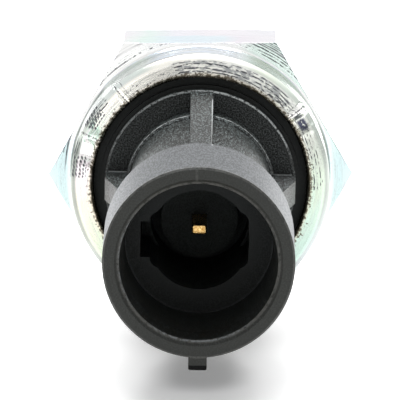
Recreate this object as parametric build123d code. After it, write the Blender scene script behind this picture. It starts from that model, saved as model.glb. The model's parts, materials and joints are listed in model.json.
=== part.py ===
from build123d import *
import os
from math import cos, radians, tan

# Oil pressure sender with one terminal, lying on a flat of its hexagon.
#
# Each piece is drawn upright on the sender's own axis: height 0 is the outer face of the sealing
# washer, where the sender meets the engine, the connector is upwards, +X is to the right and +Y is
# the top as seen from the connector. lay_down then turns the whole sender so that its connector
# points along -Y, its thread along +Y and a flat of the hexagon faces down. Lengths are in mm.

# Hexagon
HEX_ACROSS_FLATS = 27.0
HEX_HEIGHT = 10.1
HEX_SIDES = 6
HEX_CORNER_CUT = 0.89
HEX_CHAMFER_ANGLE = 30.0

# Threaded stem and its washer
THREAD_RADIUS = 7.0
THREAD_PITCH = 1.5
THREAD_DEPTH = 0.92
THREAD_CREST = 0.19
THREAD_FLANK_ANGLE = 30.0
STEM_LENGTH = 12.0
STEM_CHAMFER = 1.0
RELIEF_DEPTH = 1.0
RELIEF_PAST_WASHER = 0.9
WASHER_THICKNESS = 1.5
WASHER_WIDTH = 2.9
WASHER_THREAD_CLEARANCE = 0.1
PORT_RADIUS = 2.0
PORT_CHAMFER = 0.5

# Crimped collar; the inset is from the flats of the hexagon
COLLAR_INSET = 0.4
COLLAR_WALL = 1.2
COLLAR_HEIGHT = 5.8
COLLAR_FOOT_FILLET = 0.6
LIP_OVERHANG = 1.14
LIP_THICKNESS = 1.2
LIP_OUTER_ROUND = 0.8
LIP_INNER_ROUND = 0.35

# Staking marks round the lip: angle from +X, width and depth
STAKES = [(30.9, 1.4, 0.4), (131.3, 0.35, 0.15), (163.6, 1.9, 0.6)]

# Oil chamber, diaphragm and its support
FLOOR_TO_SHELF = 4.2
CHAMBER_WALL = 1.3
CHAMBER_DEPTH = 1.2
PLUG_RADIUS = 2.5
PLUG_LENGTH = 2.6
PLUG_ORIFICE_RADIUS = 0.4
OIL_SEAL_INSET = 1.9
OIL_SEAL_CORD_RADIUS = 0.55
OIL_SEAL_SIDE_ROOM = 0.15
FILM_THICKNESS = 0.15
STACK_CLEARANCE = 0.15
SUPPORT_THICKNESS = 2.5
SUPPORT_RIM = 4.15
SUPPORT_CEILING = 0.9

# Contact group that oil pressure lifts
CONTACT_TRAVEL = 0.6
TRAVEL_MARGIN = 0.1
PLATE_SIDE_ROOM = 0.6
PLUNGER_RADIUS = 3.3
PLUNGER_GUIDE_CLEARANCE = 0.1
SPIGOT_RADIUS = 1.5
SPIGOT_CLEARANCE = 0.1
SPIGOT_HEIGHT = 1.3
CONTACT_SIDE_ROOM = 1.0
CONTACT_THICKNESS = 0.5
TIP_COUNT = 3
TIP_INSET = 1.1
TIP_RADIUS = 0.8
TIP_HEIGHT = 0.5
TIP_SHANK_RADIUS = 0.4
TIP_RIVET_RADIUS = 0.6
TIP_RIVET_HEIGHT = 0.25

# Earth contact ring
EARTH_RING_THICKNESS = 0.5
EARTH_RING_ROOM = 1.7
EARTH_LANDING = 1.3
EARTH_FLANGE_THICKNESS = 0.4
EARTH_FLANGE_HEIGHT = 1.3

# Spring, its seat and the calibration screw
SPRING_MEAN_RADIUS = 2.6
SPRING_WIRE_RADIUS = 0.275
SPRING_LENGTH = 8.6
SPRING_TURNS = 7.5
SEAT_THICKNESS = 0.6
SEAT_RIM_HEIGHT = 0.7
SEAT_RIM_THICKNESS = 0.35
SEAT_RIM_CLEARANCE = 0.2
SEAT_HOLE_RADIUS = 1.2
SCREW_HEAD_RADIUS = 2.4
SCREW_HEAD_HEIGHT = 1.4
SCREW_HEAD_GAP = 0.4
SCREW_SHANK_RADIUS = 1.5
SCREW_SHANK_LENGTH = 6.0
SCREW_THREAD_CLEARANCE = 0.05
SCREW_SLOT_WIDTH = 0.7
SCREW_SLOT_DEPTH = 0.7

# Terminal and the brass insert that holds it
INSERT_RADIUS = 3.2
INSERT_LENGTH = 9.0
INSERT_BORE_DEPTH = 6.4
INSERT_GROOVE_WIDTH = 1.2
TERMINAL_SEAL_CORD_RADIUS = 0.45
BLADE_WIDTH = 1.44
BLADE_THICKNESS = 0.95
BLADE_TIP_CHAMFER = 0.12
BLADE_ROOT_DEPTH = 2.0
BLADE_ANCHOR_WIDTH = 3.0
BLADE_ANCHOR_LENGTH = 2.4
BLADE_ANCHOR_OFFSET = 1.2

# Plastic connector housing; heights are above the hexagon's front face
HOUSING_TURN = -0.85
HOUSING_CLEARANCE = 0.1
CONTACT_ROOM_HEIGHT = 2.6
SPRING_ROOM_RADIUS = 3.9
WEATHER_SEAL_CORD_RADIUS = 0.75
WEATHER_SEAL_HEIGHT = 1.8
WEATHER_SEAL_SIDE_ROOM = 0.15
MOAT_WIDTH = 0.76
STEP_HEIGHT = 5.4
PLINTH_INSET = 0.35
PLINTH_HEIGHT = 6.8
PLINTH_CHAMFER = 0.2
BOSS_INSET = 2.15
BOSS_HEIGHT = 9.3
BOSS_CHAMFER = 0.25
NECK_INSET = 0.3
NECK_WALL = 2.23
SHROUD_HEIGHT = 35.6
SHROUD_LENGTH = 13.5
SHROUD_WALL = 1.97
SHROUD_DRAFT = 0.12
SHROUD_REAR_ROUND = 0.3
RIM_OUTER_ROUND = 0.2

# Ribs on the neck, each set in a little from the plinth's edge and half a degree off the socket's keyway
RIB_INSET = 0.12
RIB_ROOT_THICKNESS = 2.28
TOP_RIB_END_THICKNESS = 1.98
TOP_RIB_END_INSET = 0.22
TOP_RIB_ANGLES = [89.5]
SIDE_RIB_SHOULDER = 3.2
SIDE_RIB_LENGTH = 15.5
SIDE_RIB_END_THICKNESS = 2.2
SIDE_RIB_ANGLES = [-0.5, 179.5, 269.5]

# Socket in the shroud
SOCKET_RADIUS = 7.0
SOCKET_FLARE = 0.29
SOCKET_FLARE_LENGTH = 3.0
SOCKET_RIM_CHAMFER = 0.46
LEDGE_PAST_SHROUD = 1.7
CORE_RADIUS = 4.72
CORE_DEPTH = 11.2
CORE_FLAT_INSET = 0.07
CORE_FLAT_HEIGHT = 5.4
CORE_FLAT_ROUND = 1.0
KEYWAY_DEPTH = 0.8
KEYWAY_WIDTH = 3.4
TRENCH_WIDTH = 1.02
TRENCH_DEPTH = 4.5
BLADE_PAST_PEDESTAL = 5.8
MOULD_MARK_OFFSET = 2.03
MOULD_MARK_RADIUS = 1.15
MOULD_MARK_WIDTH = 0.15
MOULD_MARK_DEPTH = 0.15

# Latch under the rim
LATCH_WIDTH = 1.7
LATCH_STAND = 1.25
LATCH_LENGTH = 5.0
LATCH_RAMP = 0.58
LATCH_EDGE_ROUND = 0.2

# Heights on the axis that several pieces share, from the washer's face up
hex_rear = WASHER_THICKNESS
hex_front = hex_rear + HEX_HEIGHT
collar_top = hex_front + COLLAR_HEIGHT
lip_underside = collar_top - LIP_THICKNESS
shelf = hex_rear + FLOOR_TO_SHELF
chamber_floor = shelf - CHAMBER_DEPTH
plug_seat = chamber_floor - PLUG_LENGTH
films_top = shelf + 2 * FILM_THICKNESS
support_top = films_top + SUPPORT_THICKNESS
support_ceiling = support_top - SUPPORT_CEILING
plate_top = support_ceiling - CONTACT_TRAVEL - TRAVEL_MARGIN
earth_ring_top = support_top + EARTH_RING_THICKNESS
earth_flange_top = earth_ring_top + EARTH_FLANGE_HEIGHT
contact_underside = earth_ring_top + TIP_HEIGHT
contact_top = contact_underside + CONTACT_THICKNESS
contact_room_top = earth_ring_top + CONTACT_ROOM_HEIGHT
seat_underside = contact_top + SPRING_LENGTH
seat_top = seat_underside + SEAT_THICKNESS
insert_bottom = seat_top + SCREW_HEAD_HEIGHT + SCREW_HEAD_GAP
insert_top = insert_bottom + INSERT_LENGTH
shroud_rear = hex_front + SHROUD_HEIGHT
rim = shroud_rear + SHROUD_LENGTH
ledge = shroud_rear + LEDGE_PAST_SHROUD
pedestal_top = ledge - CORE_DEPTH
trench_floor = pedestal_top - TRENCH_DEPTH
blade_tip = pedestal_top + BLADE_PAST_PEDESTAL
blade_root = insert_top - BLADE_ROOT_DEPTH
plinth_top = hex_front + PLINTH_HEIGHT
boss_top = hex_front + BOSS_HEIGHT

# Radii of the stem
relief_radius = THREAD_RADIUS - RELIEF_DEPTH
washer_bore = THREAD_RADIUS + WASHER_THREAD_CLEARANCE
washer_radius = washer_bore + WASHER_WIDTH

# Radii of the contact group, from the plunger outwards
earth_ring_bore = PLUNGER_RADIUS + EARTH_RING_ROOM
tip_circle_radius = earth_ring_bore + EARTH_LANDING
contact_radius = tip_circle_radius + TIP_INSET
contact_room_radius = contact_radius + CONTACT_SIDE_ROOM

# Radii that follow from a neighbour, from the hexagon inwards
hex_inradius = HEX_ACROSS_FLATS / 2
collar_radius = hex_inradius - COLLAR_INSET
collar_bore = collar_radius - COLLAR_WALL
lip_radius = collar_bore - LIP_OVERHANG
oil_seal_radius = collar_bore - OIL_SEAL_INSET
oil_groove_reach = OIL_SEAL_CORD_RADIUS + OIL_SEAL_SIDE_ROOM
chamber_radius = oil_seal_radius - oil_groove_reach - CHAMBER_WALL
stack_radius = collar_bore - STACK_CLEARANCE
recess_radius = stack_radius - SUPPORT_RIM
plate_radius = recess_radius - PLATE_SIDE_ROOM
flange_radius = collar_bore - HOUSING_CLEARANCE
skirt_radius = collar_bore - EARTH_FLANGE_THICKNESS - HOUSING_CLEARANCE
weather_seal_radius = collar_bore - WEATHER_SEAL_CORD_RADIUS
step_radius = lip_radius - MOAT_WIDTH
plinth_radius = step_radius - PLINTH_INSET
boss_radius = plinth_radius - BOSS_INSET

# Radii of the connector, from its core bore outwards
neck_radius = CORE_RADIUS + NECK_WALL
shroud_radius = SOCKET_RADIUS + SHROUD_WALL
rim_radius = shroud_radius - SHROUD_DRAFT
pedestal_radius = CORE_RADIUS - TRENCH_WIDTH


def turned(*points):
    """A solid of revolution about the axis, from its half section as (radius, height) points."""
    section = make_face(Plane.XZ * Polyline(*points, close=True))
    return revolve(section, axis=Axis.Z)


def disc(radius, low, high):
    return turned((0, low), (radius, low), (radius, high), (0, high))


def ring(bore, radius, low, high):
    return turned((bore, low), (radius, low), (radius, high), (bore, high))


def block(width, thickness, low, high):
    """A bar centred on the axis, width along X and thickness along Y."""
    return Pos(0, 0, (low + high) / 2) * Box(width, thickness, high - low)


def clocked(shape, angle):
    return Rot(0, 0, angle) * shape


def lay_down(shape):
    return Rot(90, 0, 0) * shape


def hex_column(low, high):
    outline = RegularPolygon(hex_inradius, HEX_SIDES, major_radius=False)
    return Pos(0, 0, low) * extrude(outline, amount=high - low)


def hex_prism():
    """The hexagon with its corners chamfered at both ends."""
    corner = hex_inradius / cos(radians(180 / HEX_SIDES))
    start = corner - HEX_CORNER_CUT
    drop = HEX_CORNER_CUT * tan(radians(HEX_CHAMFER_ANGLE))
    envelope = turned(
        (0, hex_rear),
        (start, hex_rear),
        (corner, hex_rear + drop),
        (corner, hex_front - drop),
        (start, hex_front),
        (0, hex_front),
    )
    return hex_column(hex_rear, hex_front) & envelope


def stake_cut(angle, width, depth):
    """A radial dent across the lip's face."""
    length = collar_radius - lip_radius
    middle = (collar_radius + lip_radius) / 2
    dent = Pos(middle, 0, collar_top) * Box(length, width, 2 * depth)
    return clocked(dent, angle)


def crimped_collar():
    """The collar as a tube with a rounded lip, and the cone at its foot where that lies on the hexagon."""
    tube = ring(lip_radius, collar_radius, hex_front, collar_top)
    lip_edges = tube.edges().filter_by(GeomType.CIRCLE).group_by(Axis.Z)[-1].sort_by(SortBy.RADIUS)
    tube = fillet(lip_edges[-1], LIP_OUTER_ROUND)
    lip_edges = tube.edges().filter_by(GeomType.CIRCLE).group_by(Axis.Z)[-1].sort_by(SortBy.RADIUS)
    tube = fillet(lip_edges[0], LIP_INNER_ROUND)
    foot = turned(
        (lip_radius, hex_front),
        (collar_radius + COLLAR_FOOT_FILLET, hex_front),
        (collar_radius, hex_front + COLLAR_FOOT_FILLET),
        (lip_radius, hex_front + COLLAR_FOOT_FILLET),
    )
    return tube + (foot & hex_column(hex_front, hex_front + COLLAR_FOOT_FILLET))


def thread_groove():
    """The V groove of a right-handed thread, from below the stem's end up into its relief."""
    spread = THREAD_DEPTH * tan(radians(THREAD_FLANK_ANGLE))
    top_half = (THREAD_PITCH - THREAD_CREST) / 2
    root_half = top_half - spread
    overshoot = THREAD_CREST / 2
    overshoot_half = top_half + overshoot * tan(radians(THREAD_FLANK_ANGLE))
    start = -STEM_LENGTH - THREAD_PITCH
    end = -RELIEF_PAST_WASHER + THREAD_PITCH / 2
    path = Pos(0, 0, start) * Helix(pitch=THREAD_PITCH, height=end - start, radius=THREAD_RADIUS)
    outline = Polyline(
        (overshoot, -overshoot_half),
        (overshoot, overshoot_half),
        (-THREAD_DEPTH, root_half),
        (-THREAD_DEPTH, -root_half),
        close=True,
    )
    section = Plane(origin=path @ 0, z_dir=path % 0, x_dir=(1, 0, 0)) * make_face(outline)
    return sweep(section, path=path, is_frenet=True)


def threaded_stem():
    """The stem with its lead-in chamfer, thread and the relief behind it."""
    stem_end = -STEM_LENGTH
    stem = turned(
        (0, stem_end),
        (THREAD_RADIUS - STEM_CHAMFER, stem_end),
        (THREAD_RADIUS, stem_end + STEM_CHAMFER),
        (THREAD_RADIUS, -RELIEF_PAST_WASHER),
        (relief_radius, -RELIEF_PAST_WASHER),
        (relief_radius, hex_rear),
        (0, hex_rear),
    )
    return stem - thread_groove()


def make_hex_body():
    """Steel body in one piece: stem, hexagon and the collar rolled over the housing's flange."""
    stem_end = -STEM_LENGTH
    cavity = disc(collar_bore, shelf, lip_underside)
    mouth = disc(lip_radius, lip_underside, collar_top)
    chamber = disc(chamber_radius, chamber_floor, shelf)
    seal_groove = ring(
        oil_seal_radius - oil_groove_reach,
        oil_seal_radius + oil_groove_reach,
        shelf - 2 * OIL_SEAL_CORD_RADIUS,
        shelf,
    )
    plug_bore = disc(PLUG_RADIUS, plug_seat, chamber_floor)
    port = disc(PORT_RADIUS, stem_end, plug_seat)
    port_mouth = turned(
        (0, stem_end),
        (PORT_RADIUS + PORT_CHAMFER, stem_end),
        (PORT_RADIUS, stem_end + PORT_CHAMFER),
        (0, stem_end + PORT_CHAMFER),
    )
    body = threaded_stem() + hex_prism() + crimped_collar()
    body -= cavity + mouth + chamber + seal_groove + plug_bore + port + port_mouth
    for angle, width, depth in STAKES:
        body -= stake_cut(angle, width, depth)
    return body


def make_sealing_washer():
    return ring(washer_bore, washer_radius, 0, WASHER_THICKNESS)


def make_orifice_plug():
    """Brass plug pressed in above the port, with a fine hole that damps the pump's pulses."""
    return ring(PLUG_ORIFICE_RADIUS, PLUG_RADIUS, plug_seat, chamber_floor)


def make_oil_seal():
    return Pos(0, 0, shelf - OIL_SEAL_CORD_RADIUS) * Torus(oil_seal_radius, OIL_SEAL_CORD_RADIUS)


def make_film(layer):
    low = shelf + layer * FILM_THICKNESS
    return disc(stack_radius, low, low + FILM_THICKNESS)


def make_support_ring():
    """Steel ring that clamps the films' edge, guides the plunger and stops the pressure plate."""
    guide = PLUNGER_RADIUS + PLUNGER_GUIDE_CLEARANCE
    return turned(
        (recess_radius, films_top),
        (stack_radius, films_top),
        (stack_radius, support_top),
        (guide, support_top),
        (guide, support_ceiling),
        (recess_radius, support_ceiling),
    )


def make_earth_ring():
    """Stamped ring that the contact tips rest on, with a flange that bears on the collar's bore."""
    return turned(
        (earth_ring_bore, support_top),
        (collar_bore, support_top),
        (collar_bore, earth_flange_top),
        (collar_bore - EARTH_FLANGE_THICKNESS, earth_flange_top),
        (collar_bore - EARTH_FLANGE_THICKNESS, earth_ring_top),
        (earth_ring_bore, earth_ring_top),
    )


def make_pressure_plate():
    return disc(plate_radius, films_top, plate_top)


def make_plunger():
    """Insulating pin between the pressure plate and the moving contact, with a spigot for the spring."""
    spigot_top = contact_top + SPIGOT_HEIGHT
    return turned(
        (0, plate_top),
        (PLUNGER_RADIUS, plate_top),
        (PLUNGER_RADIUS, contact_underside),
        (SPIGOT_RADIUS, contact_underside),
        (SPIGOT_RADIUS, spigot_top),
        (0, spigot_top),
    )


def tip_places():
    return PolarLocations(tip_circle_radius, TIP_COUNT, start_angle=90)


def make_moving_contact():
    plate = ring(SPIGOT_RADIUS + SPIGOT_CLEARANCE, contact_radius, contact_underside, contact_top)
    for place in tip_places():
        plate -= place * disc(TIP_SHANK_RADIUS, contact_underside, contact_top)
    return plate


def make_contact_tips():
    """Silver tips riveted through the moving contact, one solid each."""
    rivet_top = contact_top + TIP_RIVET_HEIGHT
    tip = turned(
        (0, earth_ring_top),
        (TIP_RADIUS, earth_ring_top),
        (TIP_RADIUS, contact_underside),
        (TIP_SHANK_RADIUS, contact_underside),
        (TIP_SHANK_RADIUS, contact_top),
        (TIP_RIVET_RADIUS, contact_top),
        (TIP_RIVET_RADIUS, rivet_top),
        (0, rivet_top),
    )
    return Compound([place * tip for place in tip_places()])


def make_return_spring():
    """Round wire wound between the moving contact and the spring seat."""
    height = SPRING_LENGTH - 2 * SPRING_WIRE_RADIUS
    path = Helix(pitch=height / SPRING_TURNS, height=height, radius=SPRING_MEAN_RADIUS)
    wire = Plane(origin=path @ 0, z_dir=path % 0) * Circle(SPRING_WIRE_RADIUS)
    coil = sweep(wire, path=path, is_frenet=True)
    return Pos(0, 0, contact_top + SPRING_WIRE_RADIUS) * coil


def make_spring_seat():
    """Brass cup that centres the spring's end and passes the current to the screw."""
    rim_bore = SPRING_MEAN_RADIUS + SPRING_WIRE_RADIUS + SEAT_RIM_CLEARANCE
    return turned(
        (SEAT_HOLE_RADIUS, seat_underside),
        (rim_bore, seat_underside),
        (rim_bore, seat_underside - SEAT_RIM_HEIGHT),
        (rim_bore + SEAT_RIM_THICKNESS, seat_underside - SEAT_RIM_HEIGHT),
        (rim_bore + SEAT_RIM_THICKNESS, seat_top),
        (SEAT_HOLE_RADIUS, seat_top),
    )


def make_adjusting_screw():
    """Calibration screw with its slot towards the spring, reached through the seat's hole."""
    head_top = seat_top + SCREW_HEAD_HEIGHT
    shank_top = insert_bottom + SCREW_SHANK_LENGTH
    screw = disc(SCREW_HEAD_RADIUS, seat_top, head_top) + disc(SCREW_SHANK_RADIUS, head_top, shank_top)
    slot = block(2 * SCREW_HEAD_RADIUS, SCREW_SLOT_WIDTH, seat_top, seat_top + SCREW_SLOT_DEPTH)
    return screw - slot


def make_terminal_insert():
    """Brass bush moulded into the housing: a threaded bore below, the terminal's slot above."""
    bore = SCREW_SHANK_RADIUS + SCREW_THREAD_CLEARANCE
    groove_low = insert_bottom + (INSERT_LENGTH - INSERT_GROOVE_WIDTH) / 2
    groove_high = groove_low + INSERT_GROOVE_WIDTH
    groove_radius = INSERT_RADIUS - 2 * TERMINAL_SEAL_CORD_RADIUS
    bush = turned(
        (bore, insert_bottom),
        (INSERT_RADIUS, insert_bottom),
        (INSERT_RADIUS, groove_low),
        (groove_radius, groove_low),
        (groove_radius, groove_high),
        (INSERT_RADIUS, groove_high),
        (INSERT_RADIUS, insert_top),
        (0, insert_top),
        (0, insert_bottom + INSERT_BORE_DEPTH),
        (bore, insert_bottom + INSERT_BORE_DEPTH),
    )
    bush -= block(BLADE_WIDTH, BLADE_THICKNESS, blade_root, insert_top)
    return clocked(bush, HOUSING_TURN)


def make_terminal_seal():
    middle = insert_bottom + INSERT_LENGTH / 2
    mean_radius = INSERT_RADIUS - TERMINAL_SEAL_CORD_RADIUS
    return Pos(0, 0, middle) * Torus(mean_radius, TERMINAL_SEAL_CORD_RADIUS)


def make_terminal_blade():
    """Stamped blade from the insert to its chamfered tip, with an anchor set in the plastic."""
    blade = block(BLADE_WIDTH, BLADE_THICKNESS, blade_root, blade_tip)
    blade = chamfer(blade.edges().group_by(Axis.Z)[-1], BLADE_TIP_CHAMFER)
    anchor_low = insert_top + BLADE_ANCHOR_OFFSET
    anchor = block(BLADE_ANCHOR_WIDTH, BLADE_THICKNESS, anchor_low, anchor_low + BLADE_ANCHOR_LENGTH)
    return clocked(blade + anchor, HOUSING_TURN)


def rib(stations, angle):
    """A rib against the neck, from its height, crest radius and thickness at each station."""
    sections = [Pos(crest / 2, 0, height) * Rectangle(crest, thickness) for height, crest, thickness in stations]
    return clocked(loft(sections, ruled=True), angle)


def top_rib(angle):
    """A rib that runs the neck's whole length, from the plinth to the shroud."""
    root = (plinth_top, plinth_radius - RIB_INSET, RIB_ROOT_THICKNESS)
    end = (shroud_rear, shroud_radius - TOP_RIB_END_INSET, TOP_RIB_END_THICKNESS)
    return rib([root, end], angle)


def side_rib(angle):
    """A gusset with a straight shoulder, whose crest then slopes down to the neck."""
    crest = plinth_radius - RIB_INSET
    root = (plinth_top, crest, RIB_ROOT_THICKNESS)
    shoulder = (plinth_top + SIDE_RIB_SHOULDER, crest, RIB_ROOT_THICKNESS)
    end = (plinth_top + SIDE_RIB_LENGTH, neck_radius, SIDE_RIB_END_THICKNESS)
    return rib([root, shoulder, end], angle)


def housing_outside():
    """The housing's outer form up to the rim, before its rooms and socket are cut."""
    step_top = hex_front + STEP_HEIGHT
    outside = turned(
        (0, earth_ring_top),
        (skirt_radius, earth_ring_top),
        (skirt_radius, earth_flange_top + HOUSING_CLEARANCE),
        (flange_radius, earth_flange_top + HOUSING_CLEARANCE),
        (flange_radius, lip_underside),
        (step_radius, lip_underside),
        (step_radius, step_top),
        (plinth_radius, step_top),
        (plinth_radius, plinth_top - PLINTH_CHAMFER),
        (plinth_radius - PLINTH_CHAMFER, plinth_top),
        (boss_radius, plinth_top),
        (boss_radius, boss_top - BOSS_CHAMFER),
        (boss_radius - BOSS_CHAMFER, boss_top),
        (boss_radius - NECK_INSET, boss_top),
        (neck_radius, shroud_rear),
        (shroud_radius - SHROUD_REAR_ROUND, shroud_rear),
        (shroud_radius, shroud_rear + SHROUD_REAR_ROUND),
        (rim_radius, rim - RIM_OUTER_ROUND),
        (rim_radius - RIM_OUTER_ROUND, rim),
        (0, rim),
    )
    for angle in TOP_RIB_ANGLES:
        outside += top_rib(angle)
    for angle in SIDE_RIB_ANGLES:
        outside += side_rib(angle)
    return outside


def latch():
    """The latch's wedge under the rim, with a lead-in ramp at its front."""
    crest = rim_radius + LATCH_STAND
    outline = Polyline(
        (SOCKET_RADIUS, rim - LATCH_LENGTH),
        (crest, rim - LATCH_LENGTH),
        (crest, rim - LATCH_RAMP),
        (crest - LATCH_RAMP, rim),
        (SOCKET_RADIUS, rim),
        close=True,
    )
    wedge = extrude(make_face(Plane.XZ * outline), amount=LATCH_WIDTH / 2, both=True)
    crest_edges = wedge.edges().filter_by(Axis.Z).group_by(Axis.X)[-1]
    return clocked(fillet(crest_edges, LATCH_EDGE_ROUND), -90)


def socket():
    """The space a mating connector enters: the wide bore, the keyed core bore and its trench."""
    wide = turned(
        (0, ledge),
        (SOCKET_RADIUS, ledge),
        (SOCKET_RADIUS, rim - SOCKET_FLARE_LENGTH),
        (SOCKET_RADIUS + SOCKET_FLARE, rim - SOCKET_RIM_CHAMFER),
        (SOCKET_RADIUS + SOCKET_FLARE + SOCKET_RIM_CHAMFER, rim),
        (0, rim),
    )
    core = disc(CORE_RADIUS, pedestal_top, ledge)
    flats = RectangleRounded(2 * (CORE_RADIUS - CORE_FLAT_INSET), CORE_FLAT_HEIGHT, CORE_FLAT_ROUND)
    core += Pos(0, 0, pedestal_top) * extrude(flats, amount=CORE_DEPTH)
    keyway_reach = CORE_RADIUS + KEYWAY_DEPTH
    core += Pos(-keyway_reach / 2, 0, 0) * block(keyway_reach, KEYWAY_WIDTH, pedestal_top, ledge)
    trench = ring(pedestal_radius, CORE_RADIUS, trench_floor, pedestal_top)
    mark = ring(
        MOULD_MARK_RADIUS - MOULD_MARK_WIDTH,
        MOULD_MARK_RADIUS,
        pedestal_top - MOULD_MARK_DEPTH,
        pedestal_top,
    )
    return wide + core + trench + Pos(0, -MOULD_MARK_OFFSET, 0) * mark


def weather_seal_groove():
    middle = hex_front + WEATHER_SEAL_HEIGHT
    half = WEATHER_SEAL_CORD_RADIUS + WEATHER_SEAL_SIDE_ROOM
    floor = collar_bore - 2 * WEATHER_SEAL_CORD_RADIUS
    return ring(floor, collar_bore, middle - half, middle + half)


def make_connector_housing(blade):
    """Moulded plastic housing, formed round the insert, its seal and the blade."""
    body = housing_outside() + latch()
    body -= socket()
    body = clocked(body, HOUSING_TURN)
    body -= weather_seal_groove()
    body -= disc(contact_room_radius, earth_ring_top, contact_room_top)
    body -= disc(SPRING_ROOM_RADIUS, contact_room_top, insert_bottom)
    body -= disc(INSERT_RADIUS, insert_bottom, insert_top)
    return body - blade


def make_weather_seal():
    return Pos(0, 0, hex_front + WEATHER_SEAL_HEIGHT) * Torus(weather_seal_radius, WEATHER_SEAL_CORD_RADIUS)


def make_pieces():
    blade = make_terminal_blade()
    return {
        "hex_body": make_hex_body(),
        "sealing_washer": make_sealing_washer(),
        "orifice_plug": make_orifice_plug(),
        "oil_seal_ring": make_oil_seal(),
        "diaphragm_film": make_film(0),
        "diaphragm_backing_film": make_film(1),
        "support_ring": make_support_ring(),
        "pressure_plate": make_pressure_plate(),
        "plunger": make_plunger(),
        "moving_contact": make_moving_contact(),
        "contact_tips": make_contact_tips(),
        "earth_contact_ring": make_earth_ring(),
        "return_spring": make_return_spring(),
        "spring_seat": make_spring_seat(),
        "adjusting_screw": make_adjusting_screw(),
        "terminal_insert": make_terminal_insert(),
        "terminal_seal_ring": make_terminal_seal(),
        "terminal_blade": blade,
        "connector_housing": make_connector_housing(blade),
        "weather_seal_ring": make_weather_seal(),
    }


os.makedirs("parts", exist_ok=True)
for name, piece in make_pieces().items():
    export_step(lay_down(piece), f"parts/{name}.step")
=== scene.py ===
import json
from math import cos, pi, radians, sin, tan

import bmesh
import bpy
import numpy as np
from mathutils import Matrix, Vector


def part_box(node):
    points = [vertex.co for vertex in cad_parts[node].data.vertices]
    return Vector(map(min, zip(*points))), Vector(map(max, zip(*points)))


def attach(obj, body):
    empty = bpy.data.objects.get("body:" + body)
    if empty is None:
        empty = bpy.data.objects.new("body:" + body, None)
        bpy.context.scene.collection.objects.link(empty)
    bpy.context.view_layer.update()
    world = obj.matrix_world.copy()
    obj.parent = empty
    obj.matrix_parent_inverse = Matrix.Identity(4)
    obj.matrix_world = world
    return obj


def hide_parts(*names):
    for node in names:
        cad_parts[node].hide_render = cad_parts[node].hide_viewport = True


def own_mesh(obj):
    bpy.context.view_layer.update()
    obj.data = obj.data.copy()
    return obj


# Oil pressure sender lying on a flat of its hexagon: its connector points along -Y, its thread along +Y.
# A place on it is given as its radius from the sender's axis, its angle from +X towards +Z, and its
# height from the sealing washer's outer face towards the connector. Sizes are in millimetres and
# become metres where a mesh, a noise, a bump or the camera is made. The floor and lamps are in metres.

MM = 0.001

# Hexagon
HEX_ACROSS_FLATS = 27.0
HEX_REAR = 1.5
HEX_FRONT = 11.6
HEX_SIDES = 6
HEX_CORNER_CUT = 0.89
HEX_CHAMFER_ANGLE = radians(30)
HEX_EDGE_ROUND = 0.12

# How far a loop stands from a rounded edge, so that the flat beyond it shades flat
HOLD = 0.05

# Angle between two faces from which their edge is shaded sharp
CREASE_ANGLE = radians(35)

# Threaded stem and oil port
STEM_END = -12.0
THREAD_RADIUS = 7.0
THREAD_PITCH = 1.5
THREAD_DEPTH = 0.92
THREAD_CREST = 0.19
THREAD_FLANK_ANGLE = radians(30)
THREAD_RINGS_PER_TURN = 10
STEM_CHAMFER = 1.0
RELIEF_RADIUS = 6.0
RELIEF_START = -0.9
RELIEF_FILLET = 0.3
PORT_RADIUS = 2.0
PORT_CHAMFER = 0.5
PLUG_RADIUS = 2.5
PLUG_SEAT = 1.9

# Room inside the body
CHAMBER_RADIUS = 8.0
CHAMBER_FLOOR = 4.5
SHELF = 5.7
OIL_GROOVE_BORE = 9.3
OIL_GROOVE_RADIUS = 10.7
OIL_GROOVE_FLOOR = 4.6
COLLAR_BORE = 11.9

# Crimped collar and its lip; the lip's finish begins at its edge, on the outer round
COLLAR_RADIUS = 13.1
COLLAR_TOP = 17.4
COLLAR_FOOT = 0.6
LIP_RADIUS = 10.76
LIP_UNDERSIDE = 16.2
LIP_OUTER_ROUND = 0.8
LIP_INNER_ROUND = 0.35
LIP_EDGE = 16.4
STAKE_DEEP = 1.5

# Staking marks round the lip: angle, width, depth and how soft their sides are
STAKES = [
    (radians(30.9), 1.3, 0.4, 0.3),
    (radians(131.3), 0.3, 0.1, 0.1),
    (radians(163.6), 1.9, 0.6, 0.45),
]

# How high the metal stands beside a staking mark, as a share of its depth
STAKE_HEAVE = 0.14

# Burr that the first staking mark raised on its upper side, with a crease along its top
BURR_ANGLE = radians(36.9)
BURR_HALF_WIDTH = 0.42
BURR_HEIGHT = 0.3
BURR_REACH = 0.22
BURR_CREASE_DEPTH = 0.35
BURR_CREASE_WIDTH = 0.22

# Terminal blade
BLADE_WIDTH = 1.44
BLADE_THICKNESS = 0.95
BLADE_EDGE_ROUND = 0.22
BLADE_TIP_ROUND = 0.16
BLADE_ROOT = 28.0
BLADE_TIP = 43.5
BLADE_ANCHOR_WIDTH = 3.0
BLADE_ANCHOR_LOW = 31.2
BLADE_ANCHOR_HIGH = 33.6
BLADE_TURN = radians(-0.85)

# Connector housing, where its finish, painted light and painted shade change
PLINTH_RADIUS = 9.65
PLINTH_TOP = 18.4
BOSS_RADIUS = 7.5
BOSS_TOP = 20.9
SHROUD_REAR = 47.2
SHROUD_RADIUS = 8.97
SOCKET_RADIUS = 7.0
SOCKET_LEDGE = 48.9
CORE_RADIUS = 4.72
RIM = 60.7
LATCH_RAMP_Z = -9.5

# Angles at which the body's skin is cut: evenly, and finely across each staking mark
ANGLE_STEP = radians(1)
FINE_ANGLE_STEP = radians(0.25)
FINE_ANGLE_REACH = radians(7)

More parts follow.
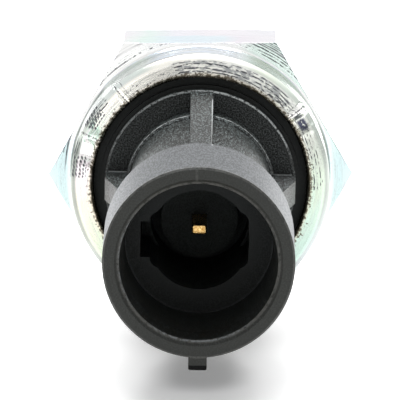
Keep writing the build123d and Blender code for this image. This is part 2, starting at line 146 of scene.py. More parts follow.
# Camera, from the photograph
CAMERA_LENS = 396.0
CAMERA_SENSOR = 36.0
CAMERA_DISTANCE = 450.0
CAMERA_ELEVATION = radians(9.92)
CAMERA_AZIMUTH = radians(0.23)
CAMERA_ROLL = radians(0.19)
AIM_BELOW_HEX = 2.68
AIM_LEFT_OF_HEX = 0.05

# Light: the surround's level as light, its level in front of the sender against the rest, the lamps' aim
AMBIENT_LEVEL = 0.45
FRONT_DIMMING = 0.92
LAMP_TARGET = (0, -0.03, 0)

# Floor: half its side, and the place and width of the darkest shadow under the connector
FLOOR_REACH = 3.0
SHADOW_Y = -0.047
SHADOW_WIDTH = 0.0082

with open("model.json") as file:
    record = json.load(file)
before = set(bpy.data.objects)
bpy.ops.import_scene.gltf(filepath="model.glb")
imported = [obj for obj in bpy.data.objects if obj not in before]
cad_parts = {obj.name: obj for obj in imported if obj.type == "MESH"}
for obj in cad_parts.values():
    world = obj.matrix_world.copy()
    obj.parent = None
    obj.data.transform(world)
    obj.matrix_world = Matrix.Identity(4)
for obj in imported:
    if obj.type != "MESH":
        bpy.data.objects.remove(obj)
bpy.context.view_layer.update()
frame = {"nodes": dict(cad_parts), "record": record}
nodes = frame["nodes"]


def place(radius, angle, height):
    """Points in metres in the frame, from arrays or numbers in millimetres and radians."""
    radius, angle, height = np.broadcast_arrays(radius, angle, height)
    return MM * np.stack([radius * np.cos(angle), -height, radius * np.sin(angle)], axis=-1)


def skin(name, loops, closed, capped=False):
    """A mesh object of quads between loops of points that all have the same length."""
    loops = np.asarray(loops)
    count, around = loops.shape[:2]
    spans = count if closed else count - 1
    faces = []
    for i in range(spans):
        low, high = i * around, (i + 1) % count * around
        for j in range(around):
            k = (j + 1) % around
            faces.append((low + j, low + k, high + k, high + j))
    if capped:
        faces += [tuple(range(around)), tuple(range((count - 1) * around, count * around))]
    mesh = bpy.data.meshes.new(name)
    mesh.from_pydata(loops.reshape(-1, 3).tolist(), [], faces)
    edit = bmesh.new()
    edit.from_mesh(mesh)
    bmesh.ops.recalc_face_normals(edit, faces=edit.faces)
    edit.to_mesh(mesh)
    edit.free()
    mesh.shade_smooth()
    mesh.set_sharp_from_angle(angle=CREASE_ANGLE)
    piece = bpy.data.objects.new(name, mesh)
    bpy.context.scene.collection.objects.link(piece)
    return piece


def arc(centre_radius, centre_height, size, start, end, steps):
    """Profile points on a round, as (radius, height), from one angle to the other in degrees."""
    turns = np.radians(np.linspace(start, end, steps))
    return [(centre_radius + size * cos(t), centre_height + size * sin(t)) for t in turns]


def skin_angles():
    """Angles round the body, close together across each staking mark."""
    coarse = np.arange(0, 2 * pi - 1e-9, ANGLE_STEP)
    fine = [np.arange(a - FINE_ANGLE_REACH, a + FINE_ANGLE_REACH, FINE_ANGLE_STEP) for a, *_ in STAKES]
    return np.unique(np.round(np.concatenate([coarse, *fine]), 6))


def hexagon_radius(angle):
    """How far the hexagon's side is from the axis; a flat faces up and another down."""
    sector = pi / HEX_SIDES
    return HEX_ACROSS_FLATS / 2 / np.cos((angle - pi / 2 + sector) % (2 * sector) - sector)


def thread_radius(angle, height):
    """A right-handed 60 degree thread that fades into the stem's chamfer and its relief."""
    turn = (height / THREAD_PITCH - angle / (2 * pi) + 0.5) % 1
    off_crest = np.minimum(turn, 1 - turn) * THREAD_PITCH - THREAD_CREST / 2
    thread = THREAD_RADIUS - np.clip(off_crest / tan(THREAD_FLANK_ANGLE), 0, THREAD_DEPTH)
    thread = np.minimum(thread, THREAD_RADIUS - STEM_CHAMFER + height - STEM_END)
    return np.minimum(thread, RELIEF_RADIUS + RELIEF_START - height)


def distance_round(angle, centre, radius):
    """How far an angle is from a mark's middle, in millimetres round the ring."""
    return np.abs((angle - centre + pi) % (2 * pi) - pi) * radius


def stake_depth(angle, radius):
    """How deep the staking marks press the lip, with the metal raised a little beside them."""
    depth = np.zeros_like(angle)
    for centre, width, deep, soft in STAKES:
        off = distance_round(angle, centre, radius)
        inside = np.clip((width / 2 + soft - off) / (2 * soft), 0, 1)
        depth += deep * inside**2 * (3 - 2 * inside)
        depth -= STAKE_HEAVE * deep * np.exp(-(((off - width / 2 - 1.6 * soft) / soft) ** 2))
    return depth


def burr(angle, radius):
    """How much of the burr's rounded ridge there is, from 0 to 1, with a crease along its top."""
    off = distance_round(angle, BURR_ANGLE, radius) / BURR_HALF_WIDTH
    ridge = np.clip(1 - off**2, 0, 1)
    return ridge - BURR_CREASE_DEPTH * np.exp(-((off / BURR_CREASE_WIDTH) ** 2))


def lip_loop(angle, radius, height):
    """One loop of the lip's skin, pressed down by the staking marks and raised by the burr."""
    share = np.clip((height - COLLAR_TOP + STAKE_DEEP) / STAKE_DEEP, 0, 1)
    ridge = share * burr(angle, radius)
    outward = BURR_REACH * ridge * np.clip((radius - LIP_RADIUS) / (COLLAR_RADIUS - LIP_RADIUS), 0, 1)
    pressed = height - share * stake_depth(angle, radius)
    return place(radius + outward, angle, pressed + BURR_HEIGHT * ridge)


def stem_rings(angle):
    """The stem from its end to the hexagon's rear face, as (radius, height) of each loop."""
    count = round((RELIEF_START - STEM_END) / THREAD_PITCH * THREAD_RINGS_PER_TURN)
    heights = np.linspace(STEM_END, RELIEF_START, count)
    port_edge = (PORT_RADIUS + PORT_CHAMFER, STEM_END)
    thread = [(thread_radius(angle, height), height) for height in heights]
    return [port_edge] + thread + arc(
        RELIEF_RADIUS + RELIEF_FILLET, HEX_REAR - RELIEF_FILLET, RELIEF_FILLET, 180, 90, 4
    )


def hexagon_rings(angle):
    """The hexagon up to the collar's foot, with its corners chamfered and its edges rounded."""
    side = hexagon_radius(angle)
    chamfer_start = HEX_ACROSS_FLATS / 2 / cos(pi / HEX_SIDES) - HEX_CORNER_CUT
    drop = np.maximum(0, side - chamfer_start) * tan(HEX_CHAMFER_ANGLE)
    low_edge = HEX_REAR + drop + HEX_EDGE_ROUND
    high_edge = HEX_FRONT - drop - HEX_EDGE_ROUND
    flat_end = np.minimum(side, chamfer_start) - HEX_EDGE_ROUND
    foot = np.minimum(COLLAR_RADIUS + COLLAR_FOOT, flat_end - 0.02)
    hold = np.minimum(HOLD, (flat_end - foot) / 4)
    rings = [
        (flat_end - HOLD, HEX_REAR),
        (flat_end, HEX_REAR),
        (side - HEX_EDGE_ROUND / 3, low_edge - HEX_EDGE_ROUND * 2 / 3),
        (side, low_edge),
        (side, low_edge + HOLD),
        (side, high_edge - HOLD),
        (side, high_edge),
        (side - HEX_EDGE_ROUND / 3, high_edge + HEX_EDGE_ROUND * 2 / 3),
        (flat_end, HEX_FRONT),
        (flat_end - hold, HEX_FRONT),
        (foot + hold, HEX_FRONT),
        (foot, HEX_FRONT),
    ]
    for share in (0.35, 0.7, 1.0):
        reach = (foot - COLLAR_RADIUS) * (1 - share) ** 2
        rings.append((COLLAR_RADIUS + reach, HEX_FRONT + COLLAR_FOOT * share**2))
    return rings


def lip_rings():
    """The collar's wall and the lip rolled over at its top, as (radius, height) of each loop."""
    wall_top = COLLAR_TOP - LIP_OUTER_ROUND
    wall_foot = HEX_FRONT + COLLAR_FOOT + HOLD
    wall_heights = (wall_foot, 14.0, COLLAR_TOP - STAKE_DEEP, wall_top - 0.3, wall_top - HOLD)
    wall = [(COLLAR_RADIUS, height) for height in wall_heights]
    outer = arc(COLLAR_RADIUS - LIP_OUTER_ROUND, wall_top, LIP_OUTER_ROUND, 0, 90, 9)
    face_bore = LIP_RADIUS + LIP_INNER_ROUND
    face = [(r, COLLAR_TOP) for r in np.linspace(outer[-1][0] - HOLD, face_bore + HOLD, 7)]
    inner = arc(face_bore, COLLAR_TOP - LIP_INNER_ROUND, LIP_INNER_ROUND, 90, 180, 6)
    return wall + outer + face + inner


def make_body(finish):
    """The steel body in one skin: thread, relief, hexagon, collar, lip and the room inside."""
    angle = skin_angles()
    room = [
        (LIP_RADIUS, LIP_UNDERSIDE),
        (COLLAR_BORE, LIP_UNDERSIDE),
        (COLLAR_BORE, SHELF),
        (OIL_GROOVE_RADIUS, SHELF),
        (OIL_GROOVE_RADIUS, OIL_GROOVE_FLOOR),
        (OIL_GROOVE_BORE, OIL_GROOVE_FLOOR),
        (OIL_GROOVE_BORE, SHELF),
        (CHAMBER_RADIUS, SHELF),
        (CHAMBER_RADIUS, CHAMBER_FLOOR),
        (PLUG_RADIUS, CHAMBER_FLOOR),
        (PLUG_RADIUS, PLUG_SEAT),
        (PORT_RADIUS, PLUG_SEAT),
        (PORT_RADIUS, STEM_END + PORT_CHAMFER),
    ]
    outside = stem_rings(angle) + hexagon_rings(angle)
    loops = [place(radius, angle, height) for radius, height in outside]
    loops += [lip_loop(angle, radius, height) for radius, height in lip_rings()]
    loops += [place(radius, angle, height) for radius, height in room]
    body = skin("hex_body_detail", loops, closed=True)
    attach(body, "sender_body")
    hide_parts("hex_body")
    body.data.materials.append(finish)


def rounded_section(half_width, half_thickness, size, steps=5):
    """A rounded rectangle's outline, as points across and along."""
    corners = [(1, 1, 0), (-1, 1, 90), (-1, -1, 180), (1, -1, 270)]
    points = []
    for side, end, start in corners:
        for turn in np.radians(np.linspace(start, start + 90, steps)):
            points.append((
                side * (half_width - size) + size * cos(turn),
                end * (half_thickness - size) + size * sin(turn),
            ))
    return points


def make_blade(finish):
    """The stamped terminal with its rolled edges and coined tip, and the anchor set in the plastic."""
    half_width, half_thickness, half_anchor = BLADE_WIDTH / 2, BLADE_THICKNESS / 2, BLADE_ANCHOR_WIDTH / 2
    stations = [
        (BLADE_ROOT, half_width, 0.0),
        (BLADE_ANCHOR_LOW, half_width, 0.0),
        (BLADE_ANCHOR_LOW, half_anchor, 0.0),
        (BLADE_ANCHOR_HIGH, half_anchor, 0.0),
        (BLADE_ANCHOR_HIGH, half_width, 0.0),
    ]
    for turn in np.radians(np.linspace(0, 80, 6)):
        inset = BLADE_TIP_ROUND * (1 - cos(turn))
        stations.append((BLADE_TIP - BLADE_TIP_ROUND * (1 - sin(turn)), half_width, inset))
    clocking = Matrix.Rotation(BLADE_TURN, 3, "Z")
    loops = []
    for height, half, inset in stations:
        outline = rounded_section(half - inset, half_thickness - inset, BLADE_EDGE_ROUND - 0.5 * inset)
        turned = [clocking @ Vector((x, z, 0)) for x, z in outline]
        loops.append([(MM * point.x, -MM * height, MM * point.y) for point in turned])
    blade = skin("terminal_blade_detail", loops, closed=False, capped=True)
    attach(blade, "sender_body")
    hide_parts("terminal_blade")
    blade.data.materials.append(finish)


class Nodes:
    """Short calls that add nodes to one shader tree and return their outputs."""

    def __init__(self, tree):
        self.tree = tree

    def feed(self, socket, value):
        """Links an output to a socket, or sets a number, or a colour of three parts."""
        if isinstance(value, bpy.types.NodeSocket):
            self.tree.links.new(value, socket)
        elif socket.type == "RGBA":
            socket.default_value = (*value, 1)
        else:
            socket.default_value = value

    def node(self, kind, *values, **settings):
        """A new node with its settings, its first sockets fed with the values."""
        node = self.tree.nodes.new("ShaderNode" + kind)
        for name, setting in settings.items():
            setattr(node, name, setting)
        for socket, value in zip(node.inputs, values):
            self.feed(socket, value)
        return node

    def math(self, operation, *values):
        return self.node("Math", *values, operation=operation).outputs[0]

    def chain(self, operation, values):
        """One operation over any number of values, from the first to the last."""
        result = values[0]
        for value in values[1:]:
            result = self.math(operation, result, value)
        return result

    def add(self, *values):
        return self.chain("ADD", values)

    def times(self, *values):
        return self.chain("MULTIPLY", values)

    def most(self, *values):
        """The largest of several values."""
        return self.chain("MAXIMUM", values)

    def opposite(self, value):
        """1 less the value."""
        return self.math("SUBTRACT", 1.0, value)

    def smooth(self, value, low, high, out_low=0.0, out_high=1.0):
        """A smooth step of value between low and high, from out_low to out_high."""
        step = self.node("MapRange", value, low, high, out_low, out_high, interpolation_type="SMOOTHSTEP")
        return step.outputs[0]

    def near(self, value, centre, half, soft):
        """1 where value is within half of centre, falling smoothly to 0 over soft."""
        off = self.math("ABSOLUTE", self.math("SUBTRACT", value, centre))
        return self.smooth(off, half, half + soft, 1.0, 0.0)

    def between(self, value, low, high, soft):
        """1 where value is between low and high, with smooth ends."""
        return self.near(value, (low + high) / 2, (high - low) / 2, soft)

    def split(self, vector):
        return self.node("SeparateXYZ", vector).outputs[:]

    def join(self, x, y, z):
        return self.node("CombineXYZ", x, y, z).outputs[0]

    def seen_ray(self):
        """1 on camera, glossy and transmission rays, 0 on the others."""
        rays = self.node("LightPath").outputs
        return self.most(rays["Is Camera Ray"], rays["Is Glossy Ray"], rays["Is Transmission Ray"])


class Finish(Nodes):
    """One procedural material."""

    def __init__(self, name):
        self.material = bpy.data.materials.new(name)
        self.material.use_nodes = True
        super().__init__(self.material.node_tree)
        self.tree.nodes.clear()
        output = self.node("OutputMaterial")
        self.shader = self.node("BsdfPrincipled")
        self.tree.links.new(self.shader.outputs[0], output.inputs[0])
        self.point = self.node("TexCoord").outputs["Object"]

    def set(self, **values):
        """Sets the shader's sockets; an underscore in a name stands for a space."""
        for name, value in values.items():
            self.feed(self.shader.inputs[name.replace("_", " ")], value)

    def facing(self, axis, low, high, out_low=0.0, out_high=1.0):
        """A smooth step of how far the surface faces along an axis: 0 for X, 1 for Y, 2 for Z."""
        normal = self.node("NewGeometry").outputs["Normal"]
        return self.smooth(self.split(normal)[axis], low, high, out_low, out_high)

    def noise(self, size, vector=None, detail=2.0, roughness=0.5, distortion=0.0):
        """Noise from 0 to 1 whose lumps are about size millimetres across."""
        node = self.node("TexNoise")
        self.feed(node.inputs["Vector"], vector or self.point)
        self.feed(node.inputs["Scale"], 1 / (size * MM))
        self.feed(node.inputs["Detail"], detail)
        self.feed(node.inputs["Roughness"], roughness)
        self.feed(node.inputs["Distortion"], distortion)
        return node.outputs["Fac"]

    def ramp(self, value, *stops):
        """A colour for each value, from stops of (place, colour)."""
        node = self.node("ValToRGB", value)
        elements = node.color_ramp.elements
        while len(elements) < len(stops):
            elements.new(0.5)
        for element, (position, colour) in zip(elements, stops):
            element.position = position
            element.color = (*colour, 1)
        return node.outputs[0]

    def mix(self, share, a, b, blend="MIX"):
        """Colour a with colour b laid over it by its share."""
        node = self.node("Mix", share, data_type="RGBA", blend_type=blend)
        self.feed(node.inputs[6], a)
        self.feed(node.inputs[7], b)
        return node.outputs[2]

    def bump(self, height, deep, strength=1.0):
        """A normal from a height of 0 to 1, deep millimetres from 0 to 1."""
        node = self.node("Bump")
        self.feed(node.inputs["Height"], height)
        self.feed(node.inputs["Distance"], deep * MM)
        self.feed(node.inputs["Strength"], strength)
        return node.outputs[0]


class Ring:
    """Places round the sender's axis as node outputs, in millimetres and degrees.

    The turn is 0 at the top, 90 on the -X side and -90 on the +X side. Across runs over the collar's
    profile from its lip to its foot.
    """

    def __init__(self, finish):
        self.finish = finish
        self.x, y, self.z = (finish.times(part, 1 / MM) for part in finish.split(finish.point))
        square = finish.add(finish.times(self.x, self.x), finish.times(self.z, self.z))
        self.radius = finish.math("SQRT", square)
        self.height = finish.times(y, -1)
        self.turn = finish.times(finish.math("ARCTAN2", finish.times(self.x, -1), self.z), 180 / pi)
        self.from_top = finish.math("ABSOLUTE", self.turn)
        self.from_middle = finish.math("ABSOLUTE", self.x)
        self.across = finish.math("SUBTRACT", self.radius, self.height)

    def lines(self, width, length, detail=2.0):
        """Noise drawn out along the turning lines, at about the lip's radius."""
        finish = self.finish
        reach = COLLAR_RADIUS * MM * width / length
        cosine = finish.math("DIVIDE", self.x, self.radius)
        sine = finish.math("DIVIDE", self.z, self.radius)
        spot = finish.join(
            finish.times(cosine, reach),
            finish.times(self.across, MM),
            finish.times(sine, reach),
        )
        return finish.noise(width, spot, detail=detail)

    def rows(self, spacing, wander):
        """1 on thin circles that stand evenly over the collar's profile and wander a little, 0 between."""
        finish = self.finish
        drift = finish.times(self.lines(0.6, 5.0), wander)
        wave = finish.math("PINGPONG", finish.add(self.across, finish.add(drift, 40.0)), spacing / 2)
        return finish.smooth(wave, 0.22 * spacing, 0.36 * spacing)

    def hatch(self, spacing, pitch):
        """1 on short dashes that stand in circles round the axis, 0 between them."""
        finish = self.finish
        drift = finish.times(finish.noise(0.7, detail=1), 0.35)
        circles = finish.math("PINGPONG", finish.add(self.radius, drift), spacing / 2)
        breaks = finish.math("PINGPONG", finish.add(self.turn, finish.times(self.radius, 4.3)), pitch / 2)
        return finish.times(
            finish.smooth(circles, 0.20 * spacing, 0.32 * spacing),
            finish.smooth(breaks, 0.10 * pitch, 0.20 * pitch),
        )

    def zone(self, turns, radii, soft_turn=3.0, soft_radius=0.12):
        """1 in a stretch of the ring, between two turns and two radii."""
        return self.finish.times(
            self.finish.between(self.turn, *turns, soft_turn),
            self.finish.between(self.radius, *radii, soft_radius),
        )

    def tint(self, *tints):
        """A colour that changes round the ring, from (turn, colour) pairs, drifting a little along it."""
        finish = self.finish
        drift = finish.times(finish.add(self.lines(0.5, 2.5), -0.5), 0.10)
        place_on_ring = finish.add(finish.times(self.turn, 1 / 360), 0.5, drift)
        return finish.ramp(place_on_ring, *((turn / 360 + 0.5, colour) for turn, colour in tints))


def lip_tint_and_shade(ring):
    """The passivation's pale colours on the lip: mint right, cream top left, pink and cream left, with
    painted shade at the sides and bottom.
    """
    return ring.tint(
        (-180, (0.56, 0.66, 0.62)),
        (-120, (0.53, 0.69, 0.61)),
        (-92, (0.57, 0.66, 0.55)),
        (-70, (0.52, 0.54, 0.49)),
        (-50, (0.92, 0.94, 0.88)),
        (-15, (0.90, 0.90, 0.86)),
        (20, (1.00, 0.98, 0.91)),
        (50, (1.00, 0.98, 0.92)),
        (61, (0.86, 0.88, 0.80)),
        (65, (0.60, 0.80, 0.68)),
        (69, (0.96, 0.96, 0.95)),
        (76, (0.94, 0.93, 0.92)),
        (84, (0.84, 0.76, 0.80)),
        (98, (0.80, 0.74, 0.65)),
        (122, (0.69, 0.76, 0.60)),
        (180, (0.56, 0.66, 0.62)),
    )


def shoulder_shade(ring):
    """Painted shade on the lip's outer round and the wall behind it, duller than the lip and darkest at the
    left.
    """
    return ring.tint(
        (-180, (0.42, 0.45, 0.45)),
        (-120, (0.42, 0.45, 0.45)),
        (-95, (0.36, 0.39, 0.36)),
        (-72, (0.48, 0.52, 0.48)),
        (-45, (0.66, 0.72, 0.66)),
        (-30, (0.68, 0.72, 0.64)),
        (28, (0.66, 0.72, 0.68)),
        (44, (0.70, 0.74, 0.72)),
        (60, (0.66, 0.69, 0.66)),
        (68, (0.72, 0.77, 0.70)),
        (76, (0.34, 0.37, 0.34)),
        (100, (0.27, 0.28, 0.25)),
        (125, (0.38, 0.40, 0.37)),
        (180, (0.42, 0.45, 0.45)),
    )


def top_flat_tint(finish, ring):
    """Bands of colour on the flat that faces up: the front one from mint to pink, the rear one lavender."""
    drift = finish.times(finish.add(finish.noise(3.0, detail=2), -0.5), 3.0)
    place_along = finish.add(finish.times(finish.add(ring.x, drift), 1 / 16), 0.5)
    front = finish.ramp(
        place_along,
        (0.0, (0.84, 0.81, 0.83)),
        (0.14, (0.68, 0.84, 0.78)),
        (0.32, (0.66, 0.79, 0.87)),
        (0.62, (0.68, 0.79, 0.85)),
        (0.74, (0.80, 0.75, 0.82)),
        (1.0, (0.82, 0.80, 0.84)),
    )
    rear = finish.ramp(
        place_along,
        (0.0, (0.82, 0.79, 0.83)),
        (0.16, (0.70, 0.83, 0.79)),
        (0.32, (0.79, 0.78, 0.85)),
        (0.6, (0.83, 0.78, 0.83)),
        (1.0, (0.81, 0.81, 0.86)),
    )
    return finish.mix(finish.smooth(finish.add(ring.height, drift), 5.5, 7.0), rear, front)


def zinc_zones(finish, ring):
    """1 on the lip, on the collar's wall, and on the hexagon's front face with its corner chamfers."""
    on_lip = finish.smooth(ring.height, LIP_EDGE - 0.1, LIP_EDGE + 0.1)
    on_wall = finish.times(
        finish.between(ring.height, HEX_FRONT + 0.2, LIP_EDGE + 0.05, 0.08),
        finish.smooth(ring.radius, COLLAR_RADIUS - 0.5, COLLAR_RADIUS - 0.2),
    )
    on_face = finish.times(
        finish.facing(1, -0.80, -0.85),
        finish.between(ring.height, 11.0, HEX_FRONT + 0.05, 0.1),
    )
    return on_lip, on_wall, on_face


def hexagon_colour(finish, ring, on_face):
    """The film's drifting colours, the banded top flat, painted shade on the side flats and stem, and the
    front, greener at its corners and bottom.
    """
    colour = finish.ramp(
        finish.noise(3.4, detail=2, distortion=0.6),
        (0.32, (0.84, 0.83, 0.80)),
        (0.42, (0.83, 0.85, 0.85)),
        (0.50, (0.74, 0.82, 0.87)),
        (0.58, (0.82, 0.80, 0.86)),
        (0.66, (0.76, 0.85, 0.81)),
        (0.76, (0.85, 0.85, 0.82)),
    )
    facing_up = finish.facing(2, 0.90, 0.97)
    on_flat = finish.times(facing_up, finish.between(ring.height, HEX_REAR, HEX_FRONT, 0.1))
    colour = finish.mix(on_flat, colour, top_flat_tint(finish, ring))

    # Painted shade: the side flats, which face neither up nor front, and the stem behind the hexagon are
    # darker.
    half_hex = HEX_ACROSS_FLATS / 2
    side_flat = finish.times(
        finish.smooth(ring.radius, half_hex - 0.2, half_hex - 0.05),
        finish.opposite(facing_up),
        finish.opposite(finish.facing(1, -0.80, -0.85)),
    )
    behind = finish.most(side_flat, finish.smooth(ring.height, HEX_REAR + 0.1, HEX_REAR - 0.05))
    colour = finish.mix(behind, colour, (0.62, 0.64, 0.66), "MULTIPLY")
    # Painted shade in the thread's roots, the oil port and the stem's end.
    valley_shade = finish.times(
        finish.smooth(ring.radius, THREAD_RADIUS - 0.15, THREAD_RADIUS - 0.8),
        finish.smooth(ring.height, -0.4, -0.8),
        0.7,
    )
    colour = finish.mix(valley_shade, colour, (0.16, 0.16, 0.17))

    # The front face is whiter in the middle and greener and darker towards its corners and its bottom.
    towards_corner = finish.smooth(ring.from_middle, 12.6, 13.8)
    face_tint = finish.mix(towards_corner, (1.0, 1.0, 0.99), (0.51, 0.63, 0.64))
    colour = finish.mix(on_face, colour, face_tint)
    mint_side = finish.times(on_face, ring.zone((-75, -25), (13.6, 15.6), 10.0, 0.3), 0.7)
    colour = finish.mix(mint_side, colour, (0.62, 0.78, 0.72))
    low_face = finish.times(on_face, finish.smooth(ring.z, 1.0, -4.0), 0.6)
    return finish.mix(low_face, colour, (0.56, 0.70, 0.68))


def wall_tint_and_highlight(finish, ring):
    """The collar's wall: grey blue in soft streaks, with a painted highlight at the upper right, and turned
    lines.
    """
    streaks = finish.smooth(ring.lines(0.8, 6.0), 0.4, 0.6)
    tint = finish.mix(streaks, (0.64, 0.71, 0.80), (0.78, 0.80, 0.82))
    # A painted highlight at the upper right.
    tint = finish.mix(finish.between(ring.turn, -40, -20, 6.0), tint, (0.94, 0.98, 1.0))
    turned_lines = finish.times(
        ring.rows(1.5, 0.8),
        finish.smooth(ring.lines(0.5, 3.0), 0.42, 0.55),
        0.45,
    )
    return finish.mix(turned_lines, tint, (0.30, 0.32, 0.36))


def zinc_colour(finish, ring, on_lip, on_wall, on_face):
    """Zinc plate under a clear iridescent passivation, with painted shade and a painted highlight, without
    its tool marks.
    """
    colour = hexagon_colour(finish, ring, on_face)
    colour = finish.mix(on_wall, colour, wall_tint_and_highlight(finish, ring))
    # The lip's passivation colours, with painted shade towards the sides and bottom.
    colour = finish.mix(on_lip, colour, lip_tint_and_shade(ring))
    # Painted shade over the lip's outer round and the wall, except at the top.
    on_shoulder = finish.times(
        finish.most(on_lip, on_wall),
        finish.smooth(ring.radius, 12.45, 12.75),
        finish.smooth(ring.from_top, 18.0, 28.0),
    )
    colour = finish.mix(on_shoulder, colour, shoulder_shade(ring))
    # The wall is darker at the upper left.
    darker_wall = finish.times(on_wall, finish.between(ring.turn, 50, 70, 4.0), 0.8)
    colour = finish.mix(darker_wall, colour, (0.20, 0.22, 0.21))
    on_burr = finish.times(finish.smooth(ring.height, COLLAR_TOP + 0.06, COLLAR_TOP + 0.14), on_lip)
    colour = finish.mix(on_burr, colour, (0.98, 0.98, 0.95))

    # Painted shade: dark lines along the hexagon's rounded front edge and its rear edge.
    bevel = finish.times(
        finish.near(ring.height, HEX_FRONT - 0.07, 0.05, 0.03),
        finish.opposite(finish.facing(1, -0.90, -0.97)),
    )
    rear_line = finish.times(
        finish.near(ring.height, HEX_REAR + 0.25, 0.12, 0.1),
        finish.smooth(finish.noise(0.8), 0.40, 0.55),
    )
    edge_shade_line = finish.times(
        finish.most(bevel, rear_line),
        finish.smooth(ring.radius, 13.0, 13.2),
        0.75,
    )
    return finish.mix(edge_shade_line, colour, (0.42, 0.41, 0.43))


def tool_marks_and_reflection(finish, ring, on_lip, on_face):
    """Rows of dashes that the turning and crimping tools left, with their dark reflection painted in, and
    where they crowd together.
    """
    wide_zones = finish.most(
        finish.times(ring.zone((-46, 11), (11.35, 12.45), 6.0, 0.2), 0.88),
        finish.times(ring.zone((10, 42), (11.35, 12.25), 6.0, 0.2), 0.60),
        ring.zone((49, 63), (12.2, 13.2), 2.5, 0.2),
        ring.zone((68, 76), (12.7, 13.2), 2.0, 0.15),
    )
    close_zones = finish.most(
        finish.times(ring.zone((-57, -42), (11.4, 12.1), 3.0, 0.25), 0.75),
        finish.times(ring.zone((-92, -64), (11.25, 12.3), 5.0, 0.2), 0.80),
    )
    face_zones = finish.most(
        finish.times(ring.zone((-38, -22), (14.2, 15.6), 3.0, 0.3), 1.05),
        finish.times(ring.zone((-66, -18), (13.75, 14.6), 8.0, 0.2), 0.82),
        finish.times(ring.zone((10, 66), (13.65, 14.1), 8.0, 0.15), 0.66),
        ring.zone((70, 80), (13.8, 14.6), 4.0, 0.2),
    )
    hatch_zones = finish.most(
        ring.zone((54, 62), (11.95, 13.2), 1.5, 0.15),
        ring.zone((78, 86), (11.7, 13.0), 1.5, 0.15),
    )
    wide = finish.times(on_lip, wide_zones, ring.rows(0.37, 0.5))
    close = finish.add(finish.times(on_lip, close_zones), finish.times(on_face, face_zones))
    close = finish.times(close, ring.rows(0.28, 0.3))
    dashes = finish.times(ring.lines(0.2, 0.42, detail=1.0), 1.6)
    crowd = finish.add(dashes, finish.most(wide, close))
    hatch = finish.times(on_lip, hatch_zones, ring.hatch(0.34, 1.9))
    return finish.most(finish.smooth(crowd, 1.52, 1.70), finish.smooth(hatch, 0.1, 0.4))


def line_marks_and_foot_shadow(finish, ring, on_lip):
    """The crimp tool's edge line, a painted shadow line round the collar's foot and the radial scratches.
    """
    broken = finish.smooth(ring.lines(0.3, 1.6), 0.36, 0.46)
    edge = finish.times(
        finish.near(ring.height, LIP_EDGE - 0.05, 0.16, 0.12),
        finish.between(ring.turn, -62, 84, 6.0),
        broken,
        finish.smooth(ring.radius, 12.6, 12.8),
        0.85,
    )
    # Painted shadow on the hexagon's front face round the collar's foot, at the upper left.
    foot = finish.times(
        finish.near(ring.radius, COLLAR_RADIUS + COLLAR_FOOT + 0.12, 0.04, 0.08),
        finish.between(ring.turn, 34, 84, 6.0),
        broken,
        finish.between(ring.height, HEX_FRONT - 0.05, HEX_FRONT + 0.05, 0.05),
        0.8,
    )
    scratches = finish.most(
        finish.near(ring.turn, 41.3, 0.25, 0.35),
        finish.times(finish.near(ring.turn, 38.2, 0.15, 0.3), 0.6),
        finish.times(finish.near(ring.turn, -50.7, 0.1, 0.3), 0.6),
        finish.near(ring.turn, -53.1, 0.2, 0.35),
        finish.near(ring.turn, 66.5, 0.3, 0.5),
    )
    speck = finish.smooth(finish.noise(0.16, detail=1), 0.44, 0.50)
    scratches = finish.times(scratches, finish.between(ring.radius, 11.0, 13.0, 0.2), speck, on_lip)
    return finish.most(edge, foot, scratches)


def bore_edge_shade(finish, ring, on_lip):
    """1 on the lip's frayed edge at its bore, in painted shade where the lip turns down, reaching further
    out away from the top.
    """
    grain = finish.noise(0.24, detail=2, roughness=0.6)
    rougher = finish.smooth(ring.from_top, 62.0, 85.0, 0.0, -0.1)
    frayed = finish.add(ring.radius, rougher, finish.times(grain, 2.2))
    return finish.times(finish.smooth(frayed, 12.30, 12.10), on_lip)


def rubbed_metal(finish, ring, on_lip):
    """How much rougher the lip is at the upper right and the collar's side at the left."""
    brushed = finish.times(finish.between(ring.turn, -40, 0, 16.0), on_lip)
    rubbed_side = finish.times(
        finish.between(ring.turn, 48, 84, 5.0),
        finish.smooth(ring.radius, 12.4, 12.7),
        finish.smooth(ring.height, HEX_FRONT + 0.2, HEX_FRONT + 0.4),
    )
    return finish.times(finish.most(brushed, rubbed_side), 0.32)


